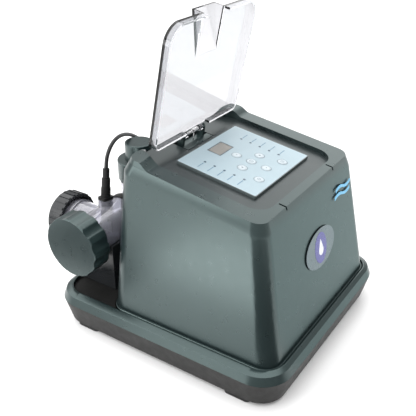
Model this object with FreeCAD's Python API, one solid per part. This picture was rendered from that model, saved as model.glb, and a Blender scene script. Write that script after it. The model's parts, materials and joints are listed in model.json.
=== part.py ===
import FreeCAD, Part
import math
import os

# Salt chlorine generator for an above-ground pool, in millimetres.
# X is to the right of someone who faces the control panel, +Y is the rear, where the hoses
# join, and +Z is up. Heights below are measured from GROUND_Z up or down from z = 0, and every
# finished part is lifted by -GROUND_Z, so that the origin is on the ground, under the middle of
# the object's box.

V = FreeCAD.Vector
X_AXIS = V(1, 0, 0)
Y_AXIS = V(0, 1, 0)
Z_AXIS = V(0, 0, 1)

# ---- base and tray ----
BASE_HALF = 145.0            # half width of base and tray
BASE_FRONT = -170.9
BASE_REAR = 146.5
BASE_CORNER_R = 38.0
GROUND_Z = -9.0              # the feet stand here
FOOT_H = 3.5                 # height of the foot pads
BASE_BOTTOM = GROUND_Z + FOOT_H
BASE_TAPER = 8.5             # the base is smaller at its bottom by this much on each side
FOOT_X = 121.0
FOOT_Y = (-118.0, 100.0)
BASE_WALL = 3.0
PAN_FLOOR = BASE_BOTTOM + BASE_WALL
BOARD_X = (-106.0, 2.0)      # power board in the base
BOARD_Y = (-130.0, 40.0)
POST_H = 12.0
BASE_TOP = 28.0              # joint between black base and tray
TRAY_DRAFT = 3.8             # the tray's outer band leans in by this much
TRAY_LIP_Z = 37.6            # outer edge of the tray's top
TRAY_TOP_Z = 41.0            # inner edge of the tray's top
WELL_HALF = 132.4            # half width of the opening in the tray
WELL_FRONT = -161.6
WELL_REAR = 135.0
WELL_CORNER_R = 28.0
SHELF_TOP = 37.0             # black shelf behind the housing
SHELF_FRONT = 67.5

# ---- housing ----
SKIRT_BOTTOM = 33.0          # the housing's flange stands on the base's seat
FLANGE_TOP = 39.5
FLANGE_OUT = 1.9
HOUSE_HALF_BOTTOM = 128.3
HOUSE_FRONT_BOTTOM = -158.3
HOUSE_REAR_BOTTOM = 63.5
HOUSE_CORNER_BOTTOM = 22.0
HOUSE_HALF_BAND = 111.2      # at the lower edge of the chamfer band
HOUSE_FRONT_BAND = -134.7
HOUSE_REAR_BAND = 47.8
HOUSE_CORNER_BAND = 17.0
HOUSE_HALF_TOP = 106.8
HOUSE_FRONT_TOP = -127.8
HOUSE_REAR_TOP = 43.4
HOUSE_CORNER_TOP = 14.0
BAND_DROP = 12.4             # height of the chamfer band, square to the deck
HOUSE_WALL = 3.0

# ---- tilted deck: local x, s up the slope, w square to it; w = 0 is the rim ----
DECK_TILT = 9.2
DECK_Z = 217.2               # height of the rim plane above the origin
RECESS_HALF = 86.0
RECESS_FRONT = -119.0
RECESS_REAR = 47.0           # past the rear edge, so only its corners close at the rear
RECESS_CORNER_R = 21.0
RECESS_REAR_R = 30.0
RECESS_DEPTH = 5.1
DECK_T = 2.5
DECK_SEAT_T = 3.0
EAR_IN = 66.0
EAR_OUT = 115.0
EAR_H = 5.5
EAR_DRAFT = 1.8              # the ear leans in by this much at its top
EAR_START = 12.0             # where the rim starts to swell up the slope, and over what length
EAR_RISE = 15.0
EAR_SIDE_RISE = 17.0         # the same across, from EAR_IN outward
SLOT_X = 57.0
SLOT_W = 2.4

# ---- keypad ----
PANEL_X0 = -60.5
PANEL_X1 = 64.5
PANEL_S0 = -95.5
PANEL_S1 = 8.1
PANEL_T = 2.6                # dark frame under the overlay
OVERLAY_T = 0.5
KEY_R = 5.4
KEY_TRAVEL = 0.5
KEYS = {
    "key_up": (0.8, -33.8),
    "key_right": (20.0, -53.6),
    "key_center": (0.8, -53.7),
    "key_left": (-19.0, -53.6),
    "key_down": (0.3, -73.7),
    "key_front_left": (-27.0, -80.1),
    "key_front_right": (26.9, -80.1),
}
LED_X = 39.2
LED_S0 = -68.5
LED_PITCH = 12.95
LED_R = 1.5
WINDOW_HALF = 13.6
WINDOW_S0 = -20.2
WINDOW_S1 = -3.9

# ---- lid hinge and lid: local x, u along the lid from the pin, n outward ----
PIN_S = 29.7
PIN_W = 4.1
PIN_R = 1.5
PIN_HALF = 23.6
POCKET_HALF = 26.8
POCKET_S0 = 14.5
POCKET_S1 = 36.5
POCKET_FLOOR = -10.4
LID_OPEN = 87.12             # swing from closed to fully open
LID_HALF = 83.5
LID_U0 = 6.4
LID_U1 = 148.0
LID_TOP_N = 1.3
LID_T = 2.5
LID_SKIRT = 9.0
LID_WALL = 2.4
LID_FRONT_R = 21.0
LID_REAR_R = 8.0
SCOOP_HALF = 21.3
SCOOP_LEN = 48.6
SCOOP_H = 12.0
BRACKET_EAR = 4.0
BRACKET_SEAM = 1.0
BLOCK_REAR = 24.3
KNUCKLE_R = 3.8
KNUCKLE_X0 = 12.8
KNUCKLE_X1 = 18.2
PIN_GAP = 0.05

# ---- badge ----
BADGE_T = 0.4
BADGE_LAYER = 0.2            # each printed foil on the badge

# ---- clear cell ----
CELL_Y = 106.3
CELL_Z = 110.4
CELL_R = 26.0
CELL_WALL = 3.2
CELL_END = 136.5
NECK_R = 30.4
NECK_IN = 119.0
CHAMBER_X = -6.0
CHAMBER_R = 27.0
CHAMBER_BOTTOM = 70.0
CHAMBER_TOP = 147.0
HEAD_NECK_R = 20.6
HEAD_NECK_TOP = 171.5
STUB_X = 82.5
STUB_R = 24.0
STUB_END = 167.0

# ---- caps ----
CAP_R = 37.9
CAP_OUT = 140.7
CAP_IN = 114.3
CAP_LOBES = 12
HOSE_CAP_R = 32.5
HOSE_CAP_Y0 = 150.0
HOSE_CAP_Y1 = 170.9
HOSE_CAP_RIBS = 24
RING_R = 28.6
RING_TOP = 174.9
HUB_R = 18.0
HUB_TOP = 197.6
SEAL_T = 1.0
HOSE_SEAL_T = 1.4

# ---- flow sensor: local axis leans a little to the right ----
SENSOR_X = -69.6
SENSOR_Y = 111.0
SENSOR_Z = 142.7
SENSOR_LEAN = 8.0
PADDLE_X = -72.6
PADDLE_PIVOT_Z = 116.0

# ---- sensor lead: points of its route from the plug to the gland ----
LEAD_R = 2.4
LEAD_ROUTE = [
    (-64.1, 111.0, 181.8),
    (-62.7, 111.0, 191.5),
    (-58.1, 111.4, 200.1),
    (-50.7, 112.5, 206.5),
    (-41.5, 114.5, 210.0),
    (-27.5, 118.2, 210.0),
    (-12.0, 122.6, 206.0),
    (4.0, 127.3, 198.8),
    (23.0, 131.5, 186.5),
    (38.5, 125.0, 172.0),
    (44.0, 106.0, 161.0),
    (44.0, 83.0, 158.0),
    (44.0, 66.0, 158.0),
]
GLAND_X = 44.0
GLAND_Z = 158.0
MAINS_X = 78.0
MAINS_Z = 156.0
MAINS_Y0 = 40.5              # inner and outer end of the mains gland, through the rear wall
MAINS_Y1 = 64.5

CLEAR = 0.3                  # gap between bodies that turn past each other

PARTS = {}


# ------------------------------------------------------------------ helpers
def box(x0, x1, y0, y1, z0, z1):
    return Part.makeBox(x1 - x0, y1 - y0, z1 - z0, V(x0, y0, z0))


def rod(start, axis, radius, length):
    return Part.makeCylinder(radius, length, V(*start), axis)


def tube(start, axis, outer, inner, length):
    return rod(start, axis, outer, length).cut(rod(start, axis, inner, length))


def group(solids):
    return Part.makeCompound(solids)


def fused(shapes):
    whole = shapes[0].fuse(shapes[1:])
    return whole.removeSplitter()


def rounded_wire(x0, x1, y0, y1, r, z):
    """Closed rounded rectangle, four lines and four arcs, at height z."""
    q = r * (1 - math.sqrt(0.5))
    corners = [
        ((x1 - r, y0), (x1 - q, y0 + q), (x1, y0 + r), (x1, y1 - r)),
        ((x1, y1 - r), (x1 - q, y1 - q), (x1 - r, y1), (x0 + r, y1)),
        ((x0 + r, y1), (x0 + q, y1 - q), (x0, y1 - r), (x0, y0 + r)),
        ((x0, y0 + r), (x0 + q, y0 + q), (x0 + r, y0), (x1 - r, y0)),
    ]
    edges = []
    for start, middle, end, following in corners:
        edges.append(Part.Arc(V(*start, z), V(*middle, z), V(*end, z)).toShape())
        edges.append(Part.LineSegment(V(*end, z), V(*following, z)).toShape())
    return Part.Wire(edges)


def rounded_block(x0, x1, y0, y1, r, z0, z1):
    face = Part.Face(rounded_wire(x0, x1, y0, y1, r, z0))
    return face.extrude(V(0, 0, z1 - z0))


def lofted(wires):
    return Part.makeLoft(wires, True, True)


def extruded_profile(points, axis, length):
    """Extrude a closed flat polygon along an axis, from points given as (x, y, z)."""
    face = Part.Face(Part.makePolygon([V(*p) for p in points + points[:1]]))
    return face.extrude(axis * length)


def on_deck(shape):
    """Move a shape from the deck's local frame to the object's frame."""
    moved = shape.copy()
    place = FreeCAD.Placement(V(0, 0, DECK_Z), FreeCAD.Rotation(X_AXIS, DECK_TILT))
    moved.transformShape(place.toMatrix(), True)
    return moved


def on_lid(shape):
    """Move a shape from the closed lid's frame (x, u to the front, n up) to the open lid."""
    moved = shape.copy()
    turn = FreeCAD.Rotation(X_AXIS, DECK_TILT - LID_OPEN)
    place = FreeCAD.Placement(pin_point(), turn)
    moved.transformShape(place.toMatrix(), True)
    return moved


def on_sensor(shape):
    moved = shape.copy()
    turn = FreeCAD.Rotation(Y_AXIS, SENSOR_LEAN)
    place = FreeCAD.Placement(V(SENSOR_X, SENSOR_Y, SENSOR_Z), turn)
    moved.transformShape(place.toMatrix(), True)
    return moved


def pin_point():
    tilt = math.radians(DECK_TILT)
    y = PIN_S * math.cos(tilt) - PIN_W * math.sin(tilt)
    z = DECK_Z + PIN_S * math.sin(tilt) + PIN_W * math.cos(tilt)
    return V(0, y, z)


def slope_length(y):
    return y / math.cos(math.radians(DECK_TILT))


def front_wall_tilt():
    rise = DECK_Z + HOUSE_FRONT_BAND * math.tan(math.radians(DECK_TILT)) - BAND_DROP - FLANGE_TOP
    run = HOUSE_FRONT_BAND - HOUSE_FRONT_BOTTOM
    return math.degrees(math.atan2(run, rise))


def on_front(shape):
    """Move a shape from the front wall's frame (x, up the wall, outward) to the object's."""
    moved = shape.copy()
    turn = FreeCAD.Rotation(X_AXIS, 90 - front_wall_tilt())
    place = FreeCAD.Placement(V(0, HOUSE_FRONT_BOTTOM, FLANGE_TOP), turn)
    moved.transformShape(place.toMatrix(), True)
    return moved


def ellipse_plate(cx, cy, rx, ry, z0, z1):
    major, minor = max(rx, ry), min(rx, ry)
    curve = Part.Ellipse(V(0, 0, 0), major, minor).toShape()
    if ry > rx:
        curve.rotate(V(0, 0, 0), Z_AXIS, 90)
    curve.translate(V(cx, cy, z0))
    return Part.Face(Part.Wire([curve])).extrude(V(0, 0, z1 - z0))


# ------------------------------------------------------------------ base and tray
def base_outline(inset, r, z):
    return rounded_wire(-BASE_HALF + inset, BASE_HALF - inset, BASE_FRONT + inset,
                        BASE_REAR - inset, r - inset, z)


def make_base_pan():
    shell = lofted([
        base_outline(BASE_TAPER + 2.5, BASE_CORNER_R, BASE_BOTTOM),
        base_outline(BASE_TAPER - 0.6, BASE_CORNER_R, BASE_BOTTOM + 3.0),
        base_outline(0.0, BASE_CORNER_R, BASE_TOP),
    ])
    wall = BASE_WALL
    hollow = lofted([
        base_outline(BASE_TAPER + wall, BASE_CORNER_R, PAN_FLOOR),
        base_outline(wall - 0.2, BASE_CORNER_R, BASE_TOP + 1),
    ])
    pan = shell.cut(hollow)
    seat_in = 6.5
    seat = rounded_block(-WELL_HALF + 0.3, WELL_HALF - 0.3, WELL_FRONT + 0.3, SHELF_FRONT,
                         WELL_CORNER_R, PAN_FLOOR, SKIRT_BOTTOM)
    seat = seat.common(fused([shell, rounded_block(-WELL_HALF, WELL_HALF, WELL_FRONT, WELL_REAR,
                                                   WELL_CORNER_R, BASE_TOP - 1, SKIRT_BOTTOM)]))
    seat_hole = rounded_block(-WELL_HALF + seat_in, WELL_HALF - seat_in, WELL_FRONT + seat_in,
                              SHELF_FRONT - seat_in, WELL_CORNER_R - 5, PAN_FLOOR, SKIRT_BOTTOM)
    deck = box(-BASE_HALF + 1, BASE_HALF - 1, SHELF_FRONT - 0.5, BASE_REAR - 1,
               BASE_TOP - wall, BASE_TOP)
    deck = deck.common(shell)
    raised = rounded_block(-WELL_HALF + 0.3, WELL_HALF - 0.3, 0.0, WELL_REAR - 0.3,
                           WELL_CORNER_R, BASE_TOP - wall, SHELF_TOP)
    raised = raised.common(box(-200, 200, 30.0, 200, 0, 100))
    raised = raised.cut(flange_block(1.2, SKIRT_BOTTOM, 100.0))
    raised = raised.cut(box(-200, 200, 0.0, SHELF_FRONT - 0.5, 0, SKIRT_BOTTOM))
    pan = fused([pan, seat.cut(seat_hole), deck, raised])
    for x, y in post_places():
        pan = pan.fuse(rod((x, y, PAN_FLOOR - 0.5), Z_AXIS, 4.0, POST_H + 0.5))
    return pan.removeSplitter()


def post_places():
    """Posts under the corners of the power board."""
    return [(x, y) for x in (BOARD_X[0] + 6, BOARD_X[1] - 6)
            for y in (BOARD_Y[0] + 6, BOARD_Y[1] - 6)]


def make_foot_pads():
    pads = []
    for x in (-FOOT_X, FOOT_X):
        for y in FOOT_Y:
            pads.append(rounded_block(x - 14, x + 14, y - 17, y + 17, 6.0, GROUND_Z, BASE_BOTTOM))
    return group(pads)


def make_tray_shell():
    ring = lofted([
        base_outline(0.0, BASE_CORNER_R, BASE_TOP),
        base_outline(TRAY_DRAFT, BASE_CORNER_R, TRAY_LIP_Z),
        rounded_wire(-WELL_HALF - 1.4, WELL_HALF + 1.4, WELL_FRONT - 1.4, WELL_REAR + 1.4,
                     WELL_CORNER_R + 1.4, TRAY_TOP_Z),
    ])
    well = rounded_block(-WELL_HALF, WELL_HALF, WELL_FRONT, WELL_REAR, WELL_CORNER_R,
                         BASE_TOP - 1, TRAY_TOP_Z + 1)
    return ring.cut(well)


# ------------------------------------------------------------------ housing and deck
def deck_outline(half, front, rear, r, w):
    wire = rounded_wire(-half, half, slope_length(front), slope_length(rear), r, w)
    return on_deck(wire)


def house_body(inset, floor, drop):
    """Solid truncated pyramid: bottom, lower edge of the chamfer band, top."""
    return lofted([
        rounded_wire(-HOUSE_HALF_BOTTOM + inset, HOUSE_HALF_BOTTOM - inset,
                     HOUSE_FRONT_BOTTOM + inset, HOUSE_REAR_BOTTOM - inset,
                     HOUSE_CORNER_BOTTOM - inset, floor),
        deck_outline(HOUSE_HALF_BAND - inset, HOUSE_FRONT_BAND + inset,
                     HOUSE_REAR_BAND - inset, HOUSE_CORNER_BAND - inset, -BAND_DROP - drop / 2),
        deck_outline(HOUSE_HALF_TOP - inset, HOUSE_FRONT_TOP + inset, HOUSE_REAR_TOP - inset,
                     HOUSE_CORNER_TOP - inset, -drop),
    ])


def recess_block(grow, w0, w1):
    """The recess in the rim plane, with larger corners at its rear than in front."""
    half = RECESS_HALF + grow
    front = RECESS_FRONT - grow
    halves = []
    for radius, s0, s1 in ((RECESS_CORNER_R, front, 0.0), (RECESS_REAR_R, 0.0, RECESS_REAR)):
        whole = rounded_block(-half, half, front, RECESS_REAR, radius, w0, w1)
        halves.append(whole.common(box(-half, half, s0, s1, w0, w1)))
    return on_deck(fused(halves))


def pocket_block(grow, w0, w1):
    return on_deck(box(-POCKET_HALF - grow, POCKET_HALF + grow, POCKET_S0 - grow,
                       POCKET_S1 + grow, w0, w1))


def swell_outline(start, rise, end):
    """A rise from the rim to the ear's height, smooth at both ends, cut off at the end."""
    points = [(start, -1.0), (start, 0.0)]
    for i in range(1, 13):
        t = i / 12.0
        points.append((start + t * rise, EAR_H * t * t * (3 - 2 * t)))
    return points + [(end, EAR_H), (end, -1.0), (start, -1.0)]


def make_ears():
    """Two raised rear corners of the rim, which swell smoothly out of it on both sides."""
    column = lofted([
        deck_outline(HOUSE_HALF_TOP, HOUSE_FRONT_TOP, HOUSE_REAR_TOP, HOUSE_CORNER_TOP, -1.0),
        deck_outline(HOUSE_HALF_TOP - EAR_DRAFT, HOUSE_FRONT_TOP, HOUSE_REAR_TOP - EAR_DRAFT,
                     HOUSE_CORNER_TOP - EAR_DRAFT, EAR_H),
    ])
    rear = slope_length(HOUSE_REAR_TOP) + 5
    ears = []
    for side in (-1, 1):
        along = [V(-EAR_OUT, s, w) for s, w in swell_outline(EAR_START, EAR_RISE, rear)]
        across = [V(side * x, 0, w) for x, w in swell_outline(EAR_IN, EAR_SIDE_RISE, EAR_OUT)]
        ear = column
        for outline, sweep in ((along, V(2 * EAR_OUT, 0, 0)), (across, V(0, rear, 0))):
            ear = ear.common(on_deck(Part.Face(Part.makePolygon(outline)).extrude(sweep)))
        ears.append(ear)
    return ears


def flange_block(grow, z0, z1):
    out = FLANGE_OUT + grow
    return rounded_block(-HOUSE_HALF_BOTTOM - out, HOUSE_HALF_BOTTOM + out,
                         HOUSE_FRONT_BOTTOM - out, HOUSE_REAR_BOTTOM + out,
                         HOUSE_CORNER_BOTTOM + out, z0, z1)


def make_housing_shell():
    solid = house_body(0.0, FLANGE_TOP - 0.01, 0.0)
    flange = lofted([
        rounded_wire(-HOUSE_HALF_BOTTOM - FLANGE_OUT, HOUSE_HALF_BOTTOM + FLANGE_OUT,
                     HOUSE_FRONT_BOTTOM - FLANGE_OUT, HOUSE_REAR_BOTTOM + FLANGE_OUT,
                     HOUSE_CORNER_BOTTOM + FLANGE_OUT, SKIRT_BOTTOM),
        rounded_wire(-HOUSE_HALF_BOTTOM - FLANGE_OUT, HOUSE_HALF_BOTTOM + FLANGE_OUT,
                     HOUSE_FRONT_BOTTOM - FLANGE_OUT, HOUSE_REAR_BOTTOM + FLANGE_OUT,
                     HOUSE_CORNER_BOTTOM + FLANGE_OUT, FLANGE_TOP - 1.0),
        rounded_wire(-HOUSE_HALF_BOTTOM - 1.0, HOUSE_HALF_BOTTOM + 1.0,
                     HOUSE_FRONT_BOTTOM - 1.0, HOUSE_REAR_BOTTOM + 1.0,
                     HOUSE_CORNER_BOTTOM + 1.0, FLANGE_TOP),
    ])
    solid = fused([solid, flange] + make_ears())
    top_wall = RECESS_DEPTH + DECK_T + DECK_SEAT_T
    shell = solid.cut(house_body(HOUSE_WALL, FLANGE_TOP, top_wall))
    mouth = rounded_block(-HOUSE_HALF_BOTTOM + HOUSE_WALL, HOUSE_HALF_BOTTOM - HOUSE_WALL,
                          HOUSE_FRONT_BOTTOM + HOUSE_WALL, HOUSE_REAR_BOTTOM - HOUSE_WALL,
                          HOUSE_CORNER_BOTTOM - HOUSE_WALL, SKIRT_BOTTOM - 1, FLANGE_TOP)
    shell = shell.cut(mouth)
    shell = shell.cut(recess_block(0.0, -RECESS_DEPTH - DECK_T, 40.0))
    wiring = on_deck(box(-66, 66, -104, 22, -40, 0))
    shell = shell.cut(wiring).cut(pocket_block(2.0, -14, 0))
    front = slope_length(HOUSE_FRONT_TOP)
    for side in (-1, 1):
        slot = box(side * SLOT_X - SLOT_W / 2, side * SLOT_X + SLOT_W / 2, front - 3.5,
                   RECESS_FRONT - 2.0, -3.5, 5)
        shell = shell.cut(on_deck(slot))
    shell = shell.cut(rod((GLAND_X, 40, GLAND_Z), Y_AXIS, 6.0, 30))
    shell = shell.cut(rod((MAINS_X, 40, MAINS_Z), Y_AXIS, 8.0, 30))
    return shell.removeSplitter()


def make_top_deck():
    outer = house_body(0.0, FLANGE_TOP, 0.0)
    slab = recess_block(0.0, -RECESS_DEPTH - DECK_T, -RECESS_DEPTH).common(outer)
    cup = pocket_block(1.8, POCKET_FLOOR - 1.8, -RECESS_DEPTH - DECK_T / 2)
    deck = slab.fuse(cup).cut(pocket_block(0.0, POCKET_FLOOR, 10))
    window = on_deck(box(-WINDOW_HALF - 2, WINDOW_HALF + 2, WINDOW_S0 - 2, WINDOW_S1 + 2, -12, 0))
    deck = deck.cut(window)
    for x, s in KEYS.values():
        deck = deck.cut(on_deck(rod((x, s, -12), Z_AXIS, 2.0, 12)))
    for x, s in led_places():
        deck = deck.cut(on_deck(rod((x, s, -12), Z_AXIS, LED_R, 12)))
    return deck.removeSplitter()


def led_places():
    return [(side * LED_X, LED_S0 + i * LED_PITCH) for side in (-1, 1) for i in range(5)]


# ------------------------------------------------------------------ keypad
def panel_block(inset, w0, w1):
    return rounded_block(PANEL_X0 + inset, PANEL_X1 - inset, PANEL_S0 + inset, PANEL_S1 - inset,
                         2.0, w0, w1)


def cut_key_windows(shape, key_gap, window_gap):
    for x, s in KEYS.values():
        shape = shape.cut(rod((x, s, -20), Z_AXIS, KEY_R + key_gap, 40))
    for x, s in led_places():
        shape = shape.cut(rod((x, s, -20), Z_AXIS, LED_R, 40))
    return shape.cut(box(-WINDOW_HALF - window_gap, WINDOW_HALF + window_gap,
                         WINDOW_S0 - window_gap, WINDOW_S1 + window_gap, -20, 20))


def make_panel_frame():
    base = panel_block(0.0, -RECESS_DEPTH, -RECESS_DEPTH + PANEL_T)
    rim = panel_block(0.0, -RECESS_DEPTH + PANEL_T, -RECESS_DEPTH + PANEL_T + OVERLAY_T)
    rim = rim.cut(panel_block(1.0, -20, 20))
    return on_deck(cut_key_windows(base.fuse(rim), 0.3, 0.0).removeSplitter())


def make_membrane_overlay():
    low = -RECESS_DEPTH + PANEL_T
    sheet = panel_block(1.0, low, low + OVERLAY_T)
    return on_deck(cut_key_windows(sheet, 0.3, 0.0))


def make_key(x, s):
    """Round key: domed disc that stands proud of the overlay, on a short stem."""
    top = -RECESS_DEPTH + PANEL_T + OVERLAY_T + 0.6
    disc = rod((x, s, top - 2.2), Z_AXIS, KEY_R, 2.2)
    disc = disc.makeChamfer(0.4, [e for e in disc.Edges if abs(e.CenterOfMass.z - top) < 0.01])
    groove = tube((x, s, top - 0.3), Z_AXIS, KEY_R - 0.8, KEY_R - 1.3, 1.0)
    stem = rod((x, s, -RECESS_DEPTH - DECK_T - 0.3), Z_AXIS, 1.6, top + RECESS_DEPTH + 1.0)
    return on_deck(disc.cut(groove).fuse(stem).removeSplitter())


def make_display_window():
    low = -RECESS_DEPTH + PANEL_T - 1.0
    return on_deck(box(-WINDOW_HALF, WINDOW_HALF, WINDOW_S0, WINDOW_S1, low, low + 1.4))


def make_led_dots():
    low = -RECESS_DEPTH - 3.0
    high = -RECESS_DEPTH + PANEL_T + OVERLAY_T + 0.25
    return group([on_deck(rod((x, s, low), Z_AXIS, LED_R, high - low)) for x, s in led_places()])


# ------------------------------------------------------------------ hinge and lid
def make_hinge_bracket():
    """Block level with the deck in front, two ears for the pin behind it."""
    floor = POCKET_FLOOR
    half = POCKET_HALF - BRACKET_SEAM
    plate = box(-half, half, POCKET_S0 + BRACKET_SEAM, PIN_S + 5.5, floor, floor + 2.0)
    block = box(-half, half, POCKET_S0 + BRACKET_SEAM, BLOCK_REAR, floor, -RECESS_DEPTH - 0.2)
    parts = [plate, block]
    for x0 in (KNUCKLE_X1 + 0.5, -KNUCKLE_X1 - 0.5 - BRACKET_EAR):
        parts.append(box(x0, x0 + BRACKET_EAR, PIN_S - 4.0, PIN_S + 4.0, floor, PIN_W))
        parts.append(rod((x0, PIN_S, PIN_W), X_AXIS, 4.0, BRACKET_EAR))
    body = fused(parts).cut(rod((-40, PIN_S, PIN_W), X_AXIS, PIN_R, 80))
    return on_deck(body)


def make_hinge_pin():
    pin = rod((-PIN_HALF, PIN_S, PIN_W), X_AXIS, PIN_R, 2 * PIN_HALF)
    head = rod((-PIN_HALF - 1.2, PIN_S, PIN_W), X_AXIS, 2.4, 1.2)
    return on_deck(pin.fuse(head))


def make_hinge_spring():
    """Torsion spring: close turns round the pin and two legs."""
    turns = []
    wire = 0.55
    mean = PIN_R + 0.15 + wire
    for i in range(8):
        ring = Part.makeTorus(mean, wire, V(1.5 + i * 1.15, PIN_S, PIN_W), X_AXIS)
        turns.append(on_deck(ring))
    leg = rod((1.5, PIN_S - mean, PIN_W), V(0, -0.05, -1), wire, PIN_W - POCKET_FLOOR - 2.6)
    turns.append(on_deck(leg))
    return group(turns)


def lid_prism(inset, n0, n1):
    """Outline of the lid in its own frame, u toward the front edge."""
    half = LID_HALF - inset
    back = -(LID_U0 + inset)
    front = -(LID_U1 - inset)
    rear_r = LID_REAR_R - inset
    front_r = LID_FRONT_R - inset
    k = 1 - math.sqrt(0.5)
    points = [
        ((half - front_r, front), (half - k * front_r, front + k * front_r),
         (half, front + front_r), (half, back - rear_r)),
        ((half, back - rear_r), (half - k * rear_r, back - k * rear_r),
         (half - rear_r, back), (-half + rear_r, back)),
        ((-half + rear_r, back), (-half + k * rear_r, back - k * rear_r),
         (-half, back - rear_r), (-half, front + front_r)),
        ((-half, front + front_r), (-half + k * front_r, front + k * front_r),
         (-half + front_r, front), (half - front_r, front)),
    ]
    edges = []
    for a, b, c, d in points:
        edges.append(Part.Arc(V(*a, n0), V(*b, n0), V(*c, n0)).toShape())
        edges.append(Part.LineSegment(V(*c, n0), V(*d, n0)).toShape())
    return Part.Face(Part.Wire(edges)).extrude(V(0, 0, n1 - n0))


def make_lid():
    low = LID_TOP_N - LID_SKIRT
    inner_top = LID_TOP_N - LID_T
    cover = lid_prism(0.0, low, LID_TOP_N)
    cover = cover.cut(lid_prism(LID_WALL, low - 1, inner_top))
    scoop_u = LID_U1 - SCOOP_LEN
    side_t = 2.2
    mouth = box(-SCOOP_HALF, SCOOP_HALF, -LID_U1 - 5, -scoop_u, low - 5, LID_TOP_N + 5)
    cover = cover.cut(mouth)
    high = LID_TOP_N + SCOOP_H
    roof = [(-SCOOP_HALF, -scoop_u, inner_top), (-SCOOP_HALF, -scoop_u, LID_TOP_N),
            (-SCOOP_HALF, -LID_U1, high), (-SCOOP_HALF, -LID_U1, high - LID_T)]
    pieces = [cover, extruded_profile(roof, X_AXIS, 2 * SCOOP_HALF)]
    for x0 in (-SCOOP_HALF, SCOOP_HALF - side_t):
        cheek = [(x0, -scoop_u, inner_top), (x0, -scoop_u, LID_TOP_N), (x0, -LID_U1, high),
                 (x0, -LID_U1, inner_top)]
        pieces.append(extruded_profile(cheek, X_AXIS, side_t))
    lid = fused(pieces)
    notch = box(-23.4, 23.4, -LID_U0 - LID_WALL - 0.01, 0, low - 1, inner_top - 0.01)
    lid = lid.cut(notch)
    for x0 in (-KNUCKLE_X1, KNUCKLE_X0):
        width = KNUCKLE_X1 - KNUCKLE_X0
        arm = box(x0, x0 + width, -LID_U0 - 3.0, 0, inner_top, LID_TOP_N)
        arm = arm.fuse(rod((x0, 0, 0), X_AXIS, KNUCKLE_R, width))
        lid = lid.fuse(arm)
    lid = lid.cut(rod((-40, 0, 0), X_AXIS, PIN_R + PIN_GAP, 80))
    return on_lid(lid.removeSplitter())


# ------------------------------------------------------------------ badge and wave
def wave_stroke(x0, y0, length, height, thick, z0, z1):
    """One smooth wave: an S of two arcs, given an even thickness."""
    half = length / 2
    edges = []
    for offset, flip in ((0.0, False), (thick, True)):
        a = V(x0, y0 + offset, z0)
        b = V(x0 + half / 2, y0 + height + offset, z0)
        c = V(x0 + half, y0 + offset, z0)
        d = V(x0 + 1.5 * half, y0 - height + offset, z0)
        e = V(x0 + length, y0 + offset, z0)
        pair = [Part.Arc(a, b, c).toShape(), Part.Arc(c, d, e).toShape()]
        edges.append((a, e, pair, flip))
    low_a, low_e, low, _ = edges[0]
    top_a, top_e, top, _ = edges[1]
    wire = Part.Wire(low + [Part.LineSegment(low_e, top_e).toShape()] + top[::-1]
                     + [Part.LineSegment(top_a, low_a).toShape()])
    return Part.Face(wire).extrude(V(0, 0, z1 - z0))


def make_badges():
    """Oval badge with a generic water drop, and wave strokes near the top right corner."""
    cx, cy = 2.6, 83.6
    z = BADGE_T + BADGE_LAYER
    PARTS["badge_plate"] = on_front(ellipse_plate(cx, cy, 36.0, 23.0, 0.0, BADGE_T))
    PARTS["badge_disc"] = on_front(ellipse_plate(cx, cy, 14.7, 18.6, BADGE_T, z))
    bottom = V(cx, cy - 9.0, z)
    left = V(cx - 5.6, cy - 3.0, z)
    right = V(cx + 5.6, cy - 3.0, z)
    tip = V(cx, cy + 11.0, z)
    edges = [Part.Arc(left, bottom, right).toShape(),
             Part.Arc(right, V(cx + 3.2, cy + 4.0, z), tip).toShape(),
             Part.Arc(tip, V(cx - 3.2, cy + 4.0, z), left).toShape()]
    drop = Part.Face(Part.Wire(edges)).extrude(V(0, 0, BADGE_LAYER))
    PARTS["badge_mark"] = on_front(drop)
    waves = [wave_stroke(48.0, 121.5, 42.0, 2.2, 3.6, 0.0, 0.4),
             wave_stroke(52.0, 129.5, 40.0, 2.2, 3.6, 0.0, 0.4)]
    PARTS["wave_emblem"] = group([on_front(w) for w in waves])


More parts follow.
